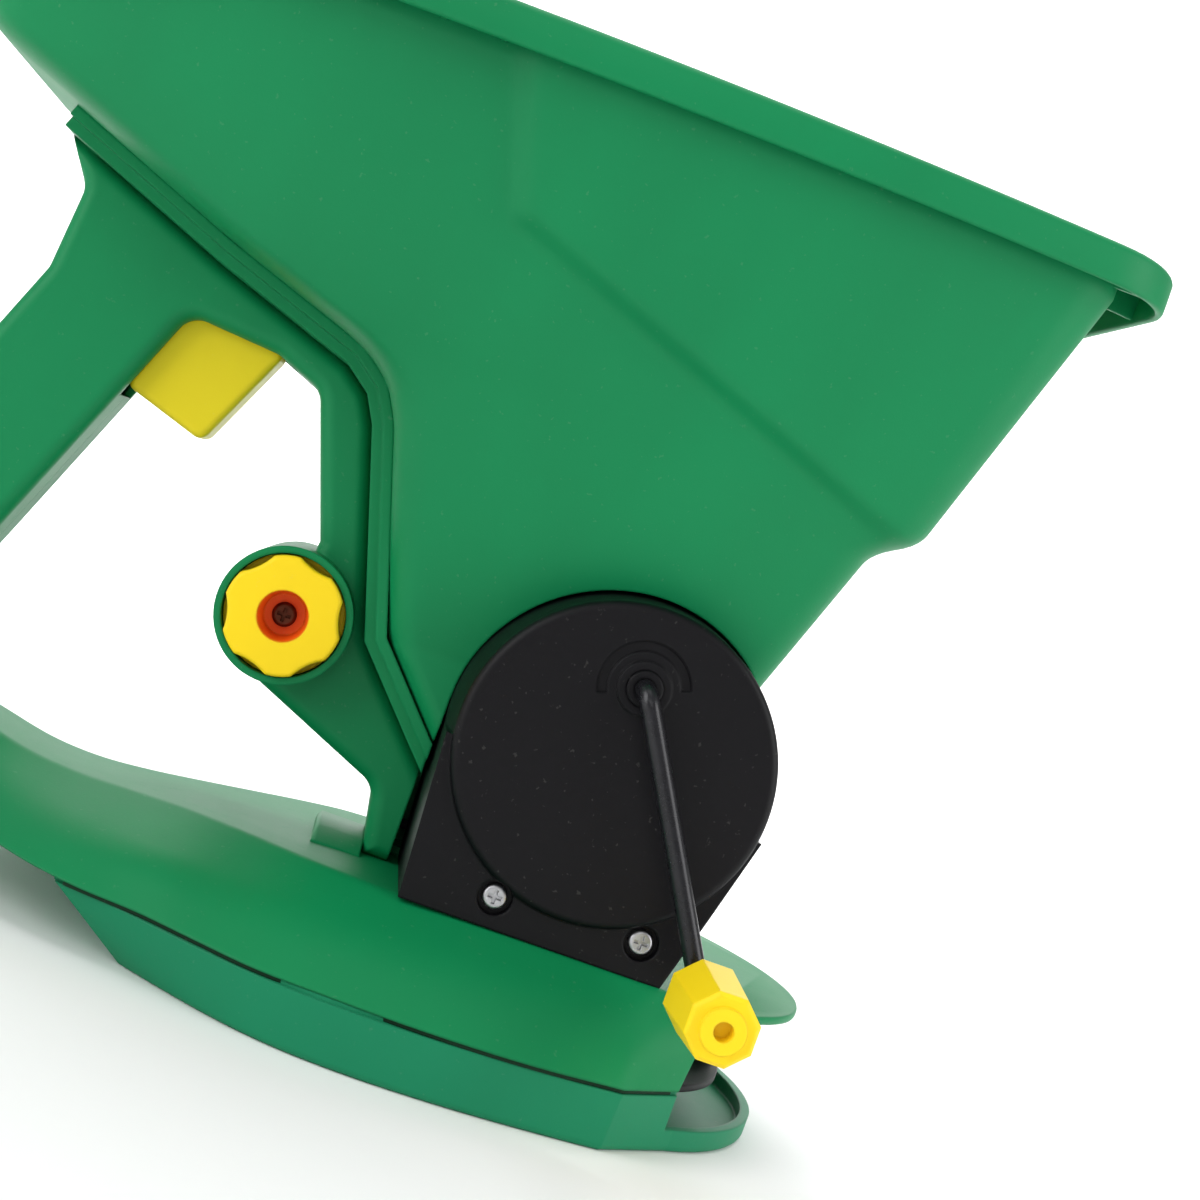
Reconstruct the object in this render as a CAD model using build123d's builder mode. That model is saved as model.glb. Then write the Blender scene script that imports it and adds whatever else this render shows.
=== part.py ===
from build123d import *
import math
import os

# Hand-held crank spreader. Millimetres, +Z up, +X forward, crank on the -Y side.
# The origin is on the base's bottom face, in the middle plane, below the column.

WALL = 2.4  # moulded wall thickness
FIT = 0.05  # radial clearance of every running fit

# Hopper: rear and front edges of its side view, as (x, z) from the top down
HOPPER_TOP = 261.0
HOPPER_BOTTOM = 52.0
HOPPER_REAR = [
    (-163.0, 261.0), (-148.0, 226.0), (-69.5, 195.5), (-24.5, 180.5), (-14.5, 173.0),
    (-9.0, 163.0), (10.0, 104.5), (31.0, 82.0), (52.0, 60.0), (53.0, 52.0),
]
HOPPER_FRONT = [(165.0, 261.0), (142.0, 181.0), (131.0, 174.0), (109.0, 104.5), (98.0, 60.0), (97.0, 52.0)]
NECK_HALF = 35.0  # half-width of the hopper's neck
NECK_TOP = 105.0  # the side walls flare out above this height
FLARE = 0.295  # half-width gained per millimetre of height
PANEL_RISE = 4.0  # the front panel of the side wall stands proud by this

# Rim
RIM_TOP = 272.0
RIM_REAR = -172.0
RIM_FRONT = 180.0
RIM_HALF = 92.0
RIM_HALF_END = 77.0
RIM_CORNER = 27.0

# Base
SEAM_HEIGHT = 17.7
FOLD_HEIGHT = 33.0
DECK_HEIGHT = 41.0  # top face of the hood
DECK_UNDER = 38.6
FLOOR = 2.6
EDGE_ROUND = 2.0  # radius of the sole's outer edge
REVEAL = 1.1  # height and depth of the shadow line between hood and pan
NOSE_CENTRE = 88.0

# Gearbox
DRUM_X = 80.0
DRUM_Z = 95.0
DRUM_FACE = -60.0
DRUM_JOINT = -36.0  # the cover meets the housing here
DRUM_BACK = 2.0
DRUM_RADIUS = 45.0  # at the face
HOUSING_RADIUS = 47.0  # at the joint
CRANK_Z = 117.5
SHAFT_Y = -8.0  # impeller axis
SHAFT_RADIUS = 3.0
CROWN_RADIUS = 36.0
CROWN_TEETH = 60
PINION_TEETH = 10
CROWN_MODULE = 1.2
SPUR_MODULE = 1.0
CRANK_TEETH = 30
LAY_TEETH = 15

# Impeller
IMPELLER_RADIUS = 67.0
IMPELLER_Z = 15.0
VANES = 6
HUB_TOP = 31.0

# Crank
ROD_RADIUS = 2.8
KNOB_X = 119.5
KNOB_Z = 47.2
KNOB_NEAR = -112.0
KNOB_FAR = -82.0
ROD_END = 7.0  # the rod stops this far inside the knob's outer end

# Frame
FRAME_HALF = 16.5
FRAME_ROUND = 4.5
FLANGE_HALF = 31.0
STEP = 3.2  # thickness of each flange step
BOSS_X = -20.0
BOSS_Z = 100.5
BOSS_RADIUS = 20.0
BOSS_HALF = 29.0
DIAL_RADIUS = 17.6
TRIGGER_X = -64.0
TRIGGER_Z = 179.0
TRIGGER_HALF = 9.5
PIN_RADIUS = 2.0

DIAL_SEAT = -17.5  # floor of the dial's recess
SPINDLE_RADIUS = 4.0
SADDLE_TIP = -123.0
TAIL_TOP = 50.0
FRAME_SCREWS = [(-112.0, 143.0), (-136.0, 84.0), (-106.0, 200.0)]

# Base outlines as (x, half-width), from the rear to where the nose's arc begins
SOLE = [(-28, 62), (-10, 75), (11, 86), (50, 90.5), (107.5, 80.5), (129, 62)]
SEAM = [(-53, 66), (-30, 73), (5, 88), (50, 92), (108, 82), (129, 62)]
FOLD = [(-62, 36), (-28, 57), (6, 73), (50, 78), (104, 72), (128.5, 61)]
DECK = [(-45, 18), (-20, 31), (10, 46), (50, 54), (100, 57), (129, 60)]
BASE_SCREWS = [(-22.0, -46.0), (-22.0, 46.0), (13.0, -76.0), (13.0, 76.0)]

# Outlet and gate
GATE_Z = 49.4
GATE_TRAVEL = 15.0
PORT_X = 76.0
PORT_Y = 19.0
PORT_LONG = 14.0
PORT_WIDE = 20.0

# Gearbox details
BUSH_RADIUS = 5.0
SKIRT_FACE = -57.0
COVER_SCREWS = [(61.6, 49.6), (104.0, 51.0)]
CROWN_DEDENDUM = 1.5
CROWN_ADDENDUM = 0.8
CROWN_TOOTH = 1.2  # tooth thickness on the pitch line

# Fasteners
SCREW_RADIUS = 1.5
HEAD_RADIUS = 3.6
HEAD_HEIGHT = 2.2


def at_height(edge, height):
    """The x of a side-view edge, given from the top down, at a height."""
    for (x0, z0), (x1, z1) in zip(edge, edge[1:]):
        if height >= z1:
            break
    return x1 + (x0 - x1) * (height - z1) / (z0 - z1)


def inset(edge, distance):
    """The edge moved square to itself by a distance, towards +X when positive."""
    moved = []
    for (x0, z0), (x1, z1) in zip(edge, edge[1:]):
        run, drop = x1 - x0, z1 - z0
        dx, dz = -drop / math.hypot(run, drop) * distance, run / math.hypot(run, drop) * distance
        moved.append((x0 + dx, z0 + dz, x1 + dx, z1 + dz))
    points = [moved[0][:2]]
    for (ax, az, bx, bz), (cx, cz, ex, ez) in zip(moved, moved[1:]):
        cross = (bx - ax) * (ez - cz) - (bz - az) * (ex - cx)
        along = ((cx - ax) * (ez - cz) - (cz - az) * (ex - cx)) / cross
        points.append((ax + (bx - ax) * along, az + (bz - az) * along))
    points.append(moved[-1][2:])
    return points


def half_width(height):
    """Half-width of the hopper at a height."""
    return NECK_HALF + max(0.0, height - NECK_TOP) * FLARE


def bow(height):
    """How far the hopper's sides bow outwards at a height."""
    return 0.6 + max(0.0, height - NECK_TOP) * 0.085


def plan_outline(rear, front, half, half_end, corner):
    """A plan outline with bowed sides and rounded corners."""
    with BuildSketch() as outline:
        with BuildLine():
            Line((rear, -half_end), (rear, half_end))
            ThreePointArc((rear, half_end), ((rear + front) / 2, half), (front, half_end))
            Line((front, half_end), (front, -half_end))
            ThreePointArc((front, -half_end), ((rear + front) / 2, -half), (rear, -half_end))
        make_face()
        fillet(outline.vertices(), corner)
    return outline.sketch


def hopper_sections(rear_edge, front_edge, inward):
    """The hopper's plan outlines at every height where an edge turns."""
    turns = {round(z, 3) for x, z in rear_edge + front_edge if HOPPER_BOTTOM < z < HOPPER_TOP}
    sections = []
    for height in sorted(turns | {HOPPER_BOTTOM, HOPPER_TOP}):
        half = half_width(height) - inward
        share = (height - HOPPER_BOTTOM) / (HOPPER_TOP - HOPPER_BOTTOM)
        rear, front = at_height(rear_edge, height), at_height(front_edge, height)
        outline = plan_outline(rear, front, half, half - bow(height), 7.0 + 9.0 * share - max(inward, 0))
        sections.append(Plane.XY.offset(height) * outline)
    return sections


def base_outline(halves):
    """A plan outline of the base from (x, half-width) pairs, with a round nose."""
    right = [(x, -half) for x, half in halves]
    left = [(x, half) for x, half in reversed(halves)]
    nose = (NOSE_CENTRE + math.hypot(halves[-1][0] - NOSE_CENTRE, halves[-1][1]), 0)
    with BuildSketch() as outline:
        with BuildLine():
            Spline(*right[:-1])
            Line(right[-2], right[-1])
            ThreePointArc(right[-1], nose, left[0])
            Line(left[0], left[1])
            Spline(*left[1:])
            Line(left[-1], right[0])
        make_face()
    return outline.sketch


def shrink(halves, amount):
    """The same (x, half-width) pairs, one wall further in."""
    ways = (1, 0.6, 0.3, 0, -0.2, -0.4)
    return [(x + amount * way, half - amount * 1.15) for (x, half), way in zip(halves, ways)]


def gear_points(teeth, module, thinned, addendum, dedendum, turn=0.0):
    """The outline of an involute spur gear, 20 degrees of pressure angle."""
    pressure = math.radians(20)
    pitch = teeth * module / 2
    base = pitch * math.cos(pressure)
    start = max(base, pitch - dedendum)
    half_tooth = (math.pi / teeth - thinned / pitch) / 2 + math.tan(pressure) - pressure
    flank = [(pitch - dedendum, half_tooth)]
    for step in range(4):
        radius = start + 0.02 + (pitch + addendum - start - 0.02) * step / 3
        roll = math.acos(base / radius)
        flank.append((radius, half_tooth - math.tan(roll) + roll))
    points = []
    for tooth in range(teeth):
        middle = math.radians(turn) + 2 * math.pi * tooth / teeth
        for radius, angle in flank:
            points.append((radius * math.cos(middle - angle), radius * math.sin(middle - angle)))
        for radius, angle in reversed(flank):
            points.append((radius * math.cos(middle + angle), radius * math.sin(middle + angle)))
    return points


def across(x, z, y):
    """A plane square to Y at (x, y, z); its normal points to -Y, the crank side."""
    return Plane(origin=(x, y, z), x_dir=(1, 0, 0), z_dir=(0, -1, 0))


def side_prism(points, near, far, corner=0.0):
    """A side-view polygon of (x, z) points from one y to another, with rounded corners."""
    with BuildPart() as prism:
        with BuildSketch(across(0, 0, far)) as profile:
            with BuildLine():
                Polyline(*points, close=True)
            make_face()
            if corner:
                fillet(profile.vertices(), corner)
        extrude(amount=far - near)
    return prism.part


def round_bar(x, z, near, far, radius):
    """A cylinder along Y from one y to another."""
    with BuildPart() as bar:
        with BuildSketch(across(x, z, far)):
            Circle(radius)
        extrude(amount=far - near)
    return bar.part


def gearbox_form(more, back):
    """The gearbox's round and square outline, grown by more, back to a y."""
    half = HOUSING_RADIUS + more
    square = [(DRUM_X - half, DRUM_Z), (DRUM_X + half, DRUM_Z), (DRUM_X + half, 40), (DRUM_X - half, 40)]
    return round_bar(DRUM_X, DRUM_Z, -100, back, half) + side_prism(square, -100, back)


def upright(x, y, low, high, radius):
    """A cylinder along Z from one height to another."""
    with BuildPart() as bar:
        with BuildSketch(Plane.XY.offset(low)):
            with Locations((x, y)):
                Circle(radius)
        extrude(amount=high - low)
    return bar.part


def pan_screw(plane, shank):
    """A cross-recessed pan head screw: the head rises from the plane, the shank goes down."""
    with BuildPart(plane) as screw:
        Cylinder(HEAD_RADIUS, HEAD_HEIGHT, align=(Align.CENTER, Align.CENTER, Align.MIN))
        fillet(screw.edges().sort_by(Axis(plane.origin, plane.z_dir))[-1], 1.2)
        with BuildSketch(plane.offset(HEAD_HEIGHT)):
            Rectangle(4.0, 1.0)
            Rectangle(1.0, 4.0)
        extrude(amount=-1.3, mode=Mode.SUBTRACT)
        with BuildSketch(plane):
            Circle(SCREW_RADIUS)
        extrude(amount=-shank)
        chamfer(screw.edges().sort_by(Axis(plane.origin, plane.z_dir))[0], 0.6)
    return screw.part


def save(piece, name):
    """Labels one finished piece and writes it under the same name."""
    piece.part.label = name
    export_step(piece.part, f"parts/{name}.step")
    print(name, round(piece.part.volume), len(piece.part.solids()), piece.part.is_valid)


os.makedirs("parts", exist_ok=True)

# ---------------------------------------------------------------- hopper
outer_sections = hopper_sections(HOPPER_REAR, HOPPER_FRONT, 0.0)
inner_sections = hopper_sections(inset(HOPPER_REAR, WALL), inset(HOPPER_FRONT, -WALL), WALL)
panel_sections = hopper_sections(HOPPER_REAR, HOPPER_FRONT, -PANEL_RISE)
rim_outline = plan_outline(RIM_REAR, RIM_FRONT, RIM_HALF, RIM_HALF_END, RIM_CORNER)
rim_hollow = plan_outline(
    RIM_REAR + WALL, RIM_FRONT - WALL, RIM_HALF - WALL, RIM_HALF_END - WALL, RIM_CORNER - WALL
)
panel_zone = side_prism(
    [(-8.5, 261), (4, 224), (134, 179), (141.4, 183), (164.5, 259), (164.5, 261)], -100, 100
)
gearbox_zone = gearbox_form(0.3, DRUM_BACK + 0.3)
gearbox_wall = gearbox_form(0.3 + WALL, DRUM_BACK + 0.3 + WALL)

with BuildPart() as hopper_space:
    loft(inner_sections, ruled=True)
    add(gearbox_wall, mode=Mode.SUBTRACT)

with BuildPart() as side_panels:
    loft(panel_sections, ruled=True)
    add(panel_zone, mode=Mode.INTERSECT)

with BuildPart() as rim:
    with BuildSketch(Plane.XY.offset(HOPPER_TOP)):
        add(rim_outline)
    extrude(amount=RIM_TOP - HOPPER_TOP)
    fillet(rim.edges().group_by(Axis.Z)[-1], 2.0)
    with BuildSketch(Plane.XY.offset(HOPPER_TOP)):
        add(rim_hollow)
        add(outer_sections[-1].moved(Location((0, 0, -HOPPER_TOP))), mode=Mode.SUBTRACT)
    extrude(amount=RIM_TOP - HOPPER_TOP - WALL, mode=Mode.SUBTRACT)
    with BuildSketch(Plane.XY.offset(HOPPER_TOP)):
        add(inner_sections[-1].moved(Location((0, 0, -HOPPER_TOP))))
    extrude(amount=RIM_TOP - HOPPER_TOP, mode=Mode.SUBTRACT)

with BuildPart() as hopper:
    loft(outer_sections, ruled=True)
    add(side_panels.part)
    add(rim.part)
    add(hopper_space.part, mode=Mode.SUBTRACT)
    add(gearbox_zone, mode=Mode.SUBTRACT)
    add(round_bar(DRUM_X, DRUM_Z, 0, 6, SHAFT_RADIUS + 1.0), mode=Mode.SUBTRACT)
save(hopper, "hopper")

# ---------------------------------------------------------------- frame: grip, saddle, column and boss
tip_drop = (HOPPER_REAR[1][1] - HOPPER_REAR[2][1]) / (HOPPER_REAR[2][0] - HOPPER_REAR[1][0])
tip_z = HOPPER_REAR[1][1] - (SADDLE_TIP - HOPPER_REAR[1][0]) * tip_drop
saddle = [(SADDLE_TIP, tip_z)] + HOPPER_REAR[2:9]
first_line = inset(saddle, -STEP)
second_line = inset(saddle, -2 * STEP)
soft_corners = {
    (-119.0, 172.0), (-117.0, 197.0), (-76.0, 173.0), (-48.0, 171.0), (-33.0, 165.0), (21.0, 61.0),
}
frame_points = second_line + [
    (47.4, DECK_HEIGHT), (25.0, DECK_HEIGHT), (21.0, 61.0), (-21.8, 79.0), (-18.0, 123.5), (-33.0, 165.0),
    (-48.0, 171.0), (-76.0, 173.0), (-107.6, 94.5), (-126.0, TAIL_TOP), (-167.0, TAIL_TOP), (-144.4, 110.0),
    (-127.7, 149.8), (-119.0, 172.0), (-117.0, 197.0),
]
with BuildSketch(across(0, 0, 0)) as frame_profile:
    with BuildLine():
        Polyline(*frame_points, close=True)
    make_face()
    fillet([v for v in frame_profile.vertices() if (round(v.X, 1), round(v.Y, 1)) in soft_corners], 7.0)
    with Locations((BOSS_X, BOSS_Z)):
        Circle(BOSS_RADIUS)

with BuildPart() as frame_space:
    with BuildSketch(across(0, 0, FRAME_HALF - WALL)):
        add(offset(frame_profile.sketch_local, amount=-WALL, mode=Mode.PRIVATE))
    extrude(amount=2 * (FRAME_HALF - WALL))
    # the spring's seat stays solid
    spring_seat = [(-104.5, 150), (-102, 150), (-102, 176), (-104.5, 176)]
    add(side_prism(spring_seat, -20, 20), mode=Mode.SUBTRACT)
    for x, z in FRAME_SCREWS:
        add(round_bar(x, z, -20, 20, 4.2), mode=Mode.SUBTRACT)

with BuildPart() as frame:
    with BuildSketch(across(0, 0, FRAME_HALF)):
        add(frame_profile.sketch_local)
    extrude(amount=2 * FRAME_HALF)
    fillet(frame.faces().sort_by(Axis.Y)[0].edges(), FRAME_ROUND)
    fillet(frame.faces().sort_by(Axis.Y)[-1].edges(), FRAME_ROUND)
    add(side_prism(saddle + first_line[::-1], -FLANGE_HALF, FLANGE_HALF))
    add(side_prism(first_line + second_line[::-1], -FLANGE_HALF + 4, FLANGE_HALF - 4))
    add(round_bar(BOSS_X, BOSS_Z, -BOSS_HALF, BOSS_HALF, BOSS_RADIUS))
    add(frame_space.part, mode=Mode.SUBTRACT)
    # dial recess on the crank side, hollow on the far side, and the spindle's bearing
    add(round_bar(BOSS_X, BOSS_Z, -BOSS_HALF - 1, DIAL_SEAT, DIAL_RADIUS + 0.3), mode=Mode.SUBTRACT)
    add(round_bar(BOSS_X, BOSS_Z, 12, BOSS_HALF - WALL, DIAL_RADIUS - 1.0), mode=Mode.SUBTRACT)
    add(round_bar(BOSS_X, BOSS_Z, -25, 0, SPINDLE_RADIUS + FIT), mode=Mode.SUBTRACT)
    # the trigger's opening and its pin, and the gate's way through the foot
    trigger_slot = [(-102, 160), (-98, 145), (-80, 143), (-41.5, 157), (-41.5, 175), (-70, 181)]
    add(side_prism(trigger_slot, -TRIGGER_HALF - 0.7, TRIGGER_HALF + 0.7), mode=Mode.SUBTRACT)
    add(round_bar(TRIGGER_X, TRIGGER_Z, -15.3, 15.3, PIN_RADIUS), mode=Mode.SUBTRACT)
    with Locations((39, 7.8, GATE_Z + 2.6)):
        Box(26, 10, 8.4, mode=Mode.SUBTRACT)
    add(gearbox_zone, mode=Mode.SUBTRACT)
    for x, z in FRAME_SCREWS:
        add(round_bar(x, z, -12, 30, SCREW_RADIUS + 0.05), mode=Mode.SUBTRACT)
        add(round_bar(x, z, FRAME_HALF - HEAD_HEIGHT - 0.3, 30, HEAD_RADIUS + 0.4), mode=Mode.SUBTRACT)

with BuildPart() as frame_left_shell:
    add(frame.part)
    split(bisect_by=Plane.XZ, keep=Keep.TOP)
save(frame_left_shell, "frame_left_shell")

with BuildPart() as frame_right_shell:
    add(frame.part)
    split(bisect_by=Plane.XZ, keep=Keep.BOTTOM)
save(frame_right_shell, "frame_right_shell")

with BuildPart() as frame_screws:
    for x, z in FRAME_SCREWS:
        head_seat = Plane(origin=(x, FRAME_HALF - HEAD_HEIGHT - 0.3, z), x_dir=(1, 0, 0), z_dir=(0, 1, 0))
        add(pan_screw(head_seat, 22.0))
save(frame_screws, "frame_screws")

# ---------------------------------------------------------------- base
with BuildPart() as dome:
    sections = [
        Plane.XY.offset(height) * base_outline(halves)
        for height, halves in ((SEAM_HEIGHT, SEAM), (FOLD_HEIGHT, FOLD), (DECK_HEIGHT, DECK))
    ]
    loft(sections, ruled=True)

with BuildPart() as dome_space:
    sections = [
        Plane.XY.offset(height) * base_outline(shrink(halves, WALL))
        for height, halves in ((SEAM_HEIGHT, SEAM), (FOLD_HEIGHT - 1.2, FOLD), (DECK_UNDER, DECK))
    ]
    loft(sections, ruled=True)
    for x, y in BASE_SCREWS:
        add(upright(x, y, SEAM_HEIGHT - 1, DECK_HEIGHT, 4.2), mode=Mode.SUBTRACT)

tail_side = [
    (-30, 39.5), (-45, 37.3), (-60, 36), (-76, 36.8), (-90, 40.5), (-105, 44.5), (-118, TAIL_TOP),
    (-168, TAIL_TOP), (-171, 42), (-160, 31), (-130, 25), (-90, 20), (-58, SEAM_HEIGHT), (-30, SEAM_HEIGHT),
]
tail_plan = [(-30, 27), (-45, 23), (-62, 20), (-85, 18), (-105, 17), (-172, 16.5)]
tail_far = [(x, -y) for x, y in reversed(tail_plan)]
with BuildPart() as tail:
    add(side_prism(tail_side, -80, 80, 3.5))
    with BuildSketch():
        with BuildLine():
            Polyline(*tail_plan, *tail_far, close=True)
        make_face()
    extrude(amount=60, mode=Mode.INTERSECT)

with BuildPart() as tail_space:
    with BuildSketch(across(0, 0, 80)) as tail_hollow:
        with BuildLine():
            Polyline(*tail_side, close=True)
        make_face()
        offset(amount=-WALL, mode=Mode.REPLACE)
    extrude(amount=160)
    with BuildSketch():
        with BuildLine():
            Polyline((-36, 38), *tail_plan[1:], *tail_far[:-1], (-36, -38), close=True)
        make_face()
        offset(amount=-WALL, mode=Mode.REPLACE)
    extrude(amount=60, mode=Mode.INTERSECT)

with BuildPart() as base_hood:
    add(dome.part)
    add(tail.part)
    add(dome_space.part, mode=Mode.SUBTRACT)
    add(tail_space.part, mode=Mode.SUBTRACT)
    # a low step behind the column's foot
    foot_step = [(9, DECK_UNDER + 1), (10.5, 44.6), (24.6, 44.6), (24.6, DECK_UNDER + 1)]
    add(side_prism(foot_step, -22, 22))
    mouth = [(126, 10), (126, SEAM_HEIGHT), (128, 29), (136, DECK_UNDER), (200, DECK_UNDER), (200, 10)]
    add(side_prism(mouth, -100, 100), mode=Mode.SUBTRACT)
    add(upright(DRUM_X, SHAFT_Y, DECK_UNDER - 2, 50, BUSH_RADIUS), mode=Mode.SUBTRACT)
    with Locations((PORT_X, PORT_Y, DECK_HEIGHT)):
        Box(PORT_LONG, PORT_WIDE, 10, mode=Mode.SUBTRACT)
    for x, y in BASE_SCREWS:
        add(upright(x, y, 10, 29, SCREW_RADIUS + 0.05), mode=Mode.SUBTRACT)
save(base_hood, "base_hood")

with BuildPart() as base_pan:
    loft([Plane.XY * base_outline(SOLE), Plane.XY.offset(SEAM_HEIGHT) * base_outline(SEAM)], ruled=True)
    fillet(base_pan.edges().group_by(Axis.Z)[0], EDGE_ROUND)
    inner_pan = [
        Plane.XY.offset(FLOOR) * base_outline(shrink(SOLE, WALL)),
        Plane.XY.offset(SEAM_HEIGHT) * base_outline(shrink(SEAM, WALL)),
    ]
    loft(inner_pan, ruled=True, mode=Mode.SUBTRACT)
    add(side_prism([(126, 6.7), (126, 20), (200, 20), (200, 6.7)], -100, 100), mode=Mode.SUBTRACT)
    # a shadow line under the hood
    with BuildSketch(Plane.XY.offset(SEAM_HEIGHT - REVEAL)):
        Rectangle(500, 400)
        add(base_outline(shrink(SEAM, REVEAL)), mode=Mode.SUBTRACT)
    extrude(amount=2 * REVEAL, mode=Mode.SUBTRACT)
    for x, y in BASE_SCREWS:
        add(upright(x, y, 0, SEAM_HEIGHT, 5.4))
        add(upright(x, y, -1, 20, SCREW_RADIUS + 0.05), mode=Mode.SUBTRACT)
        add(upright(x, y, -1, HEAD_HEIGHT + 0.6, HEAD_RADIUS + 0.4), mode=Mode.SUBTRACT)
save(base_pan, "base_pan")

with BuildPart() as base_screws:
    for x, y in BASE_SCREWS:
        sole_seat = Plane(origin=(x, y, HEAD_HEIGHT + 0.6), x_dir=(1, 0, 0), z_dir=(0, 0, -1))
        add(pan_screw(sole_seat, 24.0))
save(base_screws, "base_screws")

# ---------------------------------------------------------------- outlet guide and flow gate
with BuildPart() as outlet_guide:
    with Locations((85, 19, (DECK_HEIGHT + HOPPER_BOTTOM) / 2)):
        Box(74, 32, HOPPER_BOTTOM - DECK_HEIGHT)
    fillet(outlet_guide.edges().filter_by(Axis.Z), 2.0)
    with Locations((85, 19, GATE_Z)):
        Box(80, 24.8, 2.6, mode=Mode.SUBTRACT)
    with Locations((PORT_X, PORT_Y, DECK_HEIGHT)):
        Box(PORT_LONG, PORT_WIDE, 30, mode=Mode.SUBTRACT)
save(outlet_guide, "outlet_guide")

with BuildPart() as flow_gate:
    with Locations((78, 19, GATE_Z)):
        Box(50, 24, 2.0)
    with Locations((42, 9.5, GATE_Z)):
        Box(25, 4.6, 2.0)
    with Locations((PORT_X - GATE_TRAVEL, PORT_Y, GATE_Z)):
        Box(PORT_LONG, PORT_WIDE, 4, mode=Mode.SUBTRACT)
    with Locations((31, 9.5, GATE_Z + 3)):
        Box(3, 4.6, 6)
    fillet(flow_gate.edges().filter_by(Axis.Z).group_by(Axis.X)[-1], 1.5)
save(flow_gate, "flow_gate")

# ---------------------------------------------------------------- gearbox
skirt = [(36.5, DECK_HEIGHT), (33.5, 88), (126, 88), (119, 62), (113, DECK_HEIGHT)]
skirt_inside = [(39.2, DECK_HEIGHT + WALL), (36.5, 88), (123, 88), (116.5, 62), (110.8, DECK_HEIGHT + WALL)]
with BuildPart() as gearbox_cover:
    with BuildSketch(across(DRUM_X, DRUM_Z, DRUM_JOINT)):
        Circle(HOUSING_RADIUS)
    drum_depth = DRUM_JOINT - DRUM_FACE
    extrude(amount=drum_depth, taper=math.degrees(math.atan((HOUSING_RADIUS - DRUM_RADIUS) / drum_depth)))
    fillet(gearbox_cover.edges().sort_by(Axis.Y)[0], 2.5)
    add(side_prism(skirt, SKIRT_FACE, DRUM_JOINT))
    with BuildSketch(across(DRUM_X, CRANK_Z, DRUM_FACE)):
        Circle(13.0)
        Circle(10.2, mode=Mode.SUBTRACT)
        with Locations(Location((0, -17), 20)):
            Rectangle(50, 30, mode=Mode.SUBTRACT)
    extrude(amount=-0.9, mode=Mode.SUBTRACT)
    add(round_bar(DRUM_X, CRANK_Z, DRUM_FACE - 1.2, DRUM_FACE + 3, 7.6))
    # the inside
    hollow = round_bar(DRUM_X, DRUM_Z, DRUM_FACE + 3.0, DRUM_JOINT, 40.4)
    hollow += side_prism(skirt_inside, SKIRT_FACE + WALL, DRUM_JOINT)
    for x, z in COVER_SCREWS:
        hollow -= round_bar(x, z, -70, -30, 5.8)
    hollow -= round_bar(DRUM_X, DRUM_Z, -60, -52, 6.0)
    add(hollow, mode=Mode.SUBTRACT)
    add(round_bar(DRUM_X, DRUM_Z, DRUM_FACE + 2.0, -50, SHAFT_RADIUS + FIT), mode=Mode.SUBTRACT)
    add(round_bar(DRUM_X, CRANK_Z, DRUM_FACE - 3, -50, BUSH_RADIUS), mode=Mode.SUBTRACT)
    for x, z in COVER_SCREWS:
        add(round_bar(x, z, -70, SKIRT_FACE + 3.0, 5.0), mode=Mode.SUBTRACT)
        add(round_bar(x, z, -70, -30, SCREW_RADIUS + 0.05), mode=Mode.SUBTRACT)
save(gearbox_cover, "gearbox_cover")

with BuildPart() as gearbox_housing:
    add(round_bar(DRUM_X, DRUM_Z, DRUM_JOINT, DRUM_BACK, HOUSING_RADIUS))
    add(side_prism(skirt, DRUM_JOINT, DRUM_BACK))
    hollow = round_bar(DRUM_X, DRUM_Z, DRUM_JOINT, DRUM_BACK - WALL, HOUSING_RADIUS - WALL)
    hollow += side_prism(skirt_inside, DRUM_JOINT, DRUM_BACK - WALL)
    for x, z in COVER_SCREWS:
        hollow -= round_bar(x, z, -70, 20, 4.5)
    add(hollow, mode=Mode.SUBTRACT)
    add(round_bar(DRUM_X, DRUM_Z, -5, 5, BUSH_RADIUS), mode=Mode.SUBTRACT)
    add(upright(DRUM_X, SHAFT_Y, 40, 52, BUSH_RADIUS), mode=Mode.SUBTRACT)
    for x, z in COVER_SCREWS:
        add(round_bar(x, z, -70, -20, SCREW_RADIUS + 0.05), mode=Mode.SUBTRACT)
save(gearbox_housing, "gearbox_housing")

with BuildPart() as cover_screws:
    for x, z in COVER_SCREWS:
        add(pan_screw(across(x, z, SKIRT_FACE + 3.0), 26.0))
save(cover_screws, "cover_screws")

with BuildPart() as crank_bush:
    add(round_bar(DRUM_X, CRANK_Z, DRUM_FACE - 2.0, -51.5, BUSH_RADIUS))
    add(round_bar(DRUM_X, CRANK_Z, -70, -40, ROD_RADIUS + FIT), mode=Mode.SUBTRACT)
save(crank_bush, "crank_bush")

with BuildPart() as layshaft_bush:
    add(round_bar(DRUM_X, DRUM_Z, -3.5, DRUM_BACK, BUSH_RADIUS))
    add(round_bar(DRUM_X, DRUM_Z, -10, 10, SHAFT_RADIUS + FIT), mode=Mode.SUBTRACT)
save(layshaft_bush, "layshaft_bush")

with BuildPart() as impeller_bush_upper:
    add(upright(DRUM_X, SHAFT_Y, DECK_UNDER - 1.5, 51.0, BUSH_RADIUS))
    add(upright(DRUM_X, SHAFT_Y, 30, 60, SHAFT_RADIUS + FIT), mode=Mode.SUBTRACT)
save(impeller_bush_upper, "impeller_bush_upper")

with BuildPart() as impeller_bush_lower:
    add(upright(DRUM_X, SHAFT_Y, FLOOR, 10.0, 6.5))
    chamfer(impeller_bush_lower.edges().group_by(Axis.Z)[-1], 0.8)
    add(upright(DRUM_X, SHAFT_Y, 4.0, 12, SHAFT_RADIUS + FIT), mode=Mode.SUBTRACT)
save(impeller_bush_lower, "impeller_bush_lower")

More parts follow.
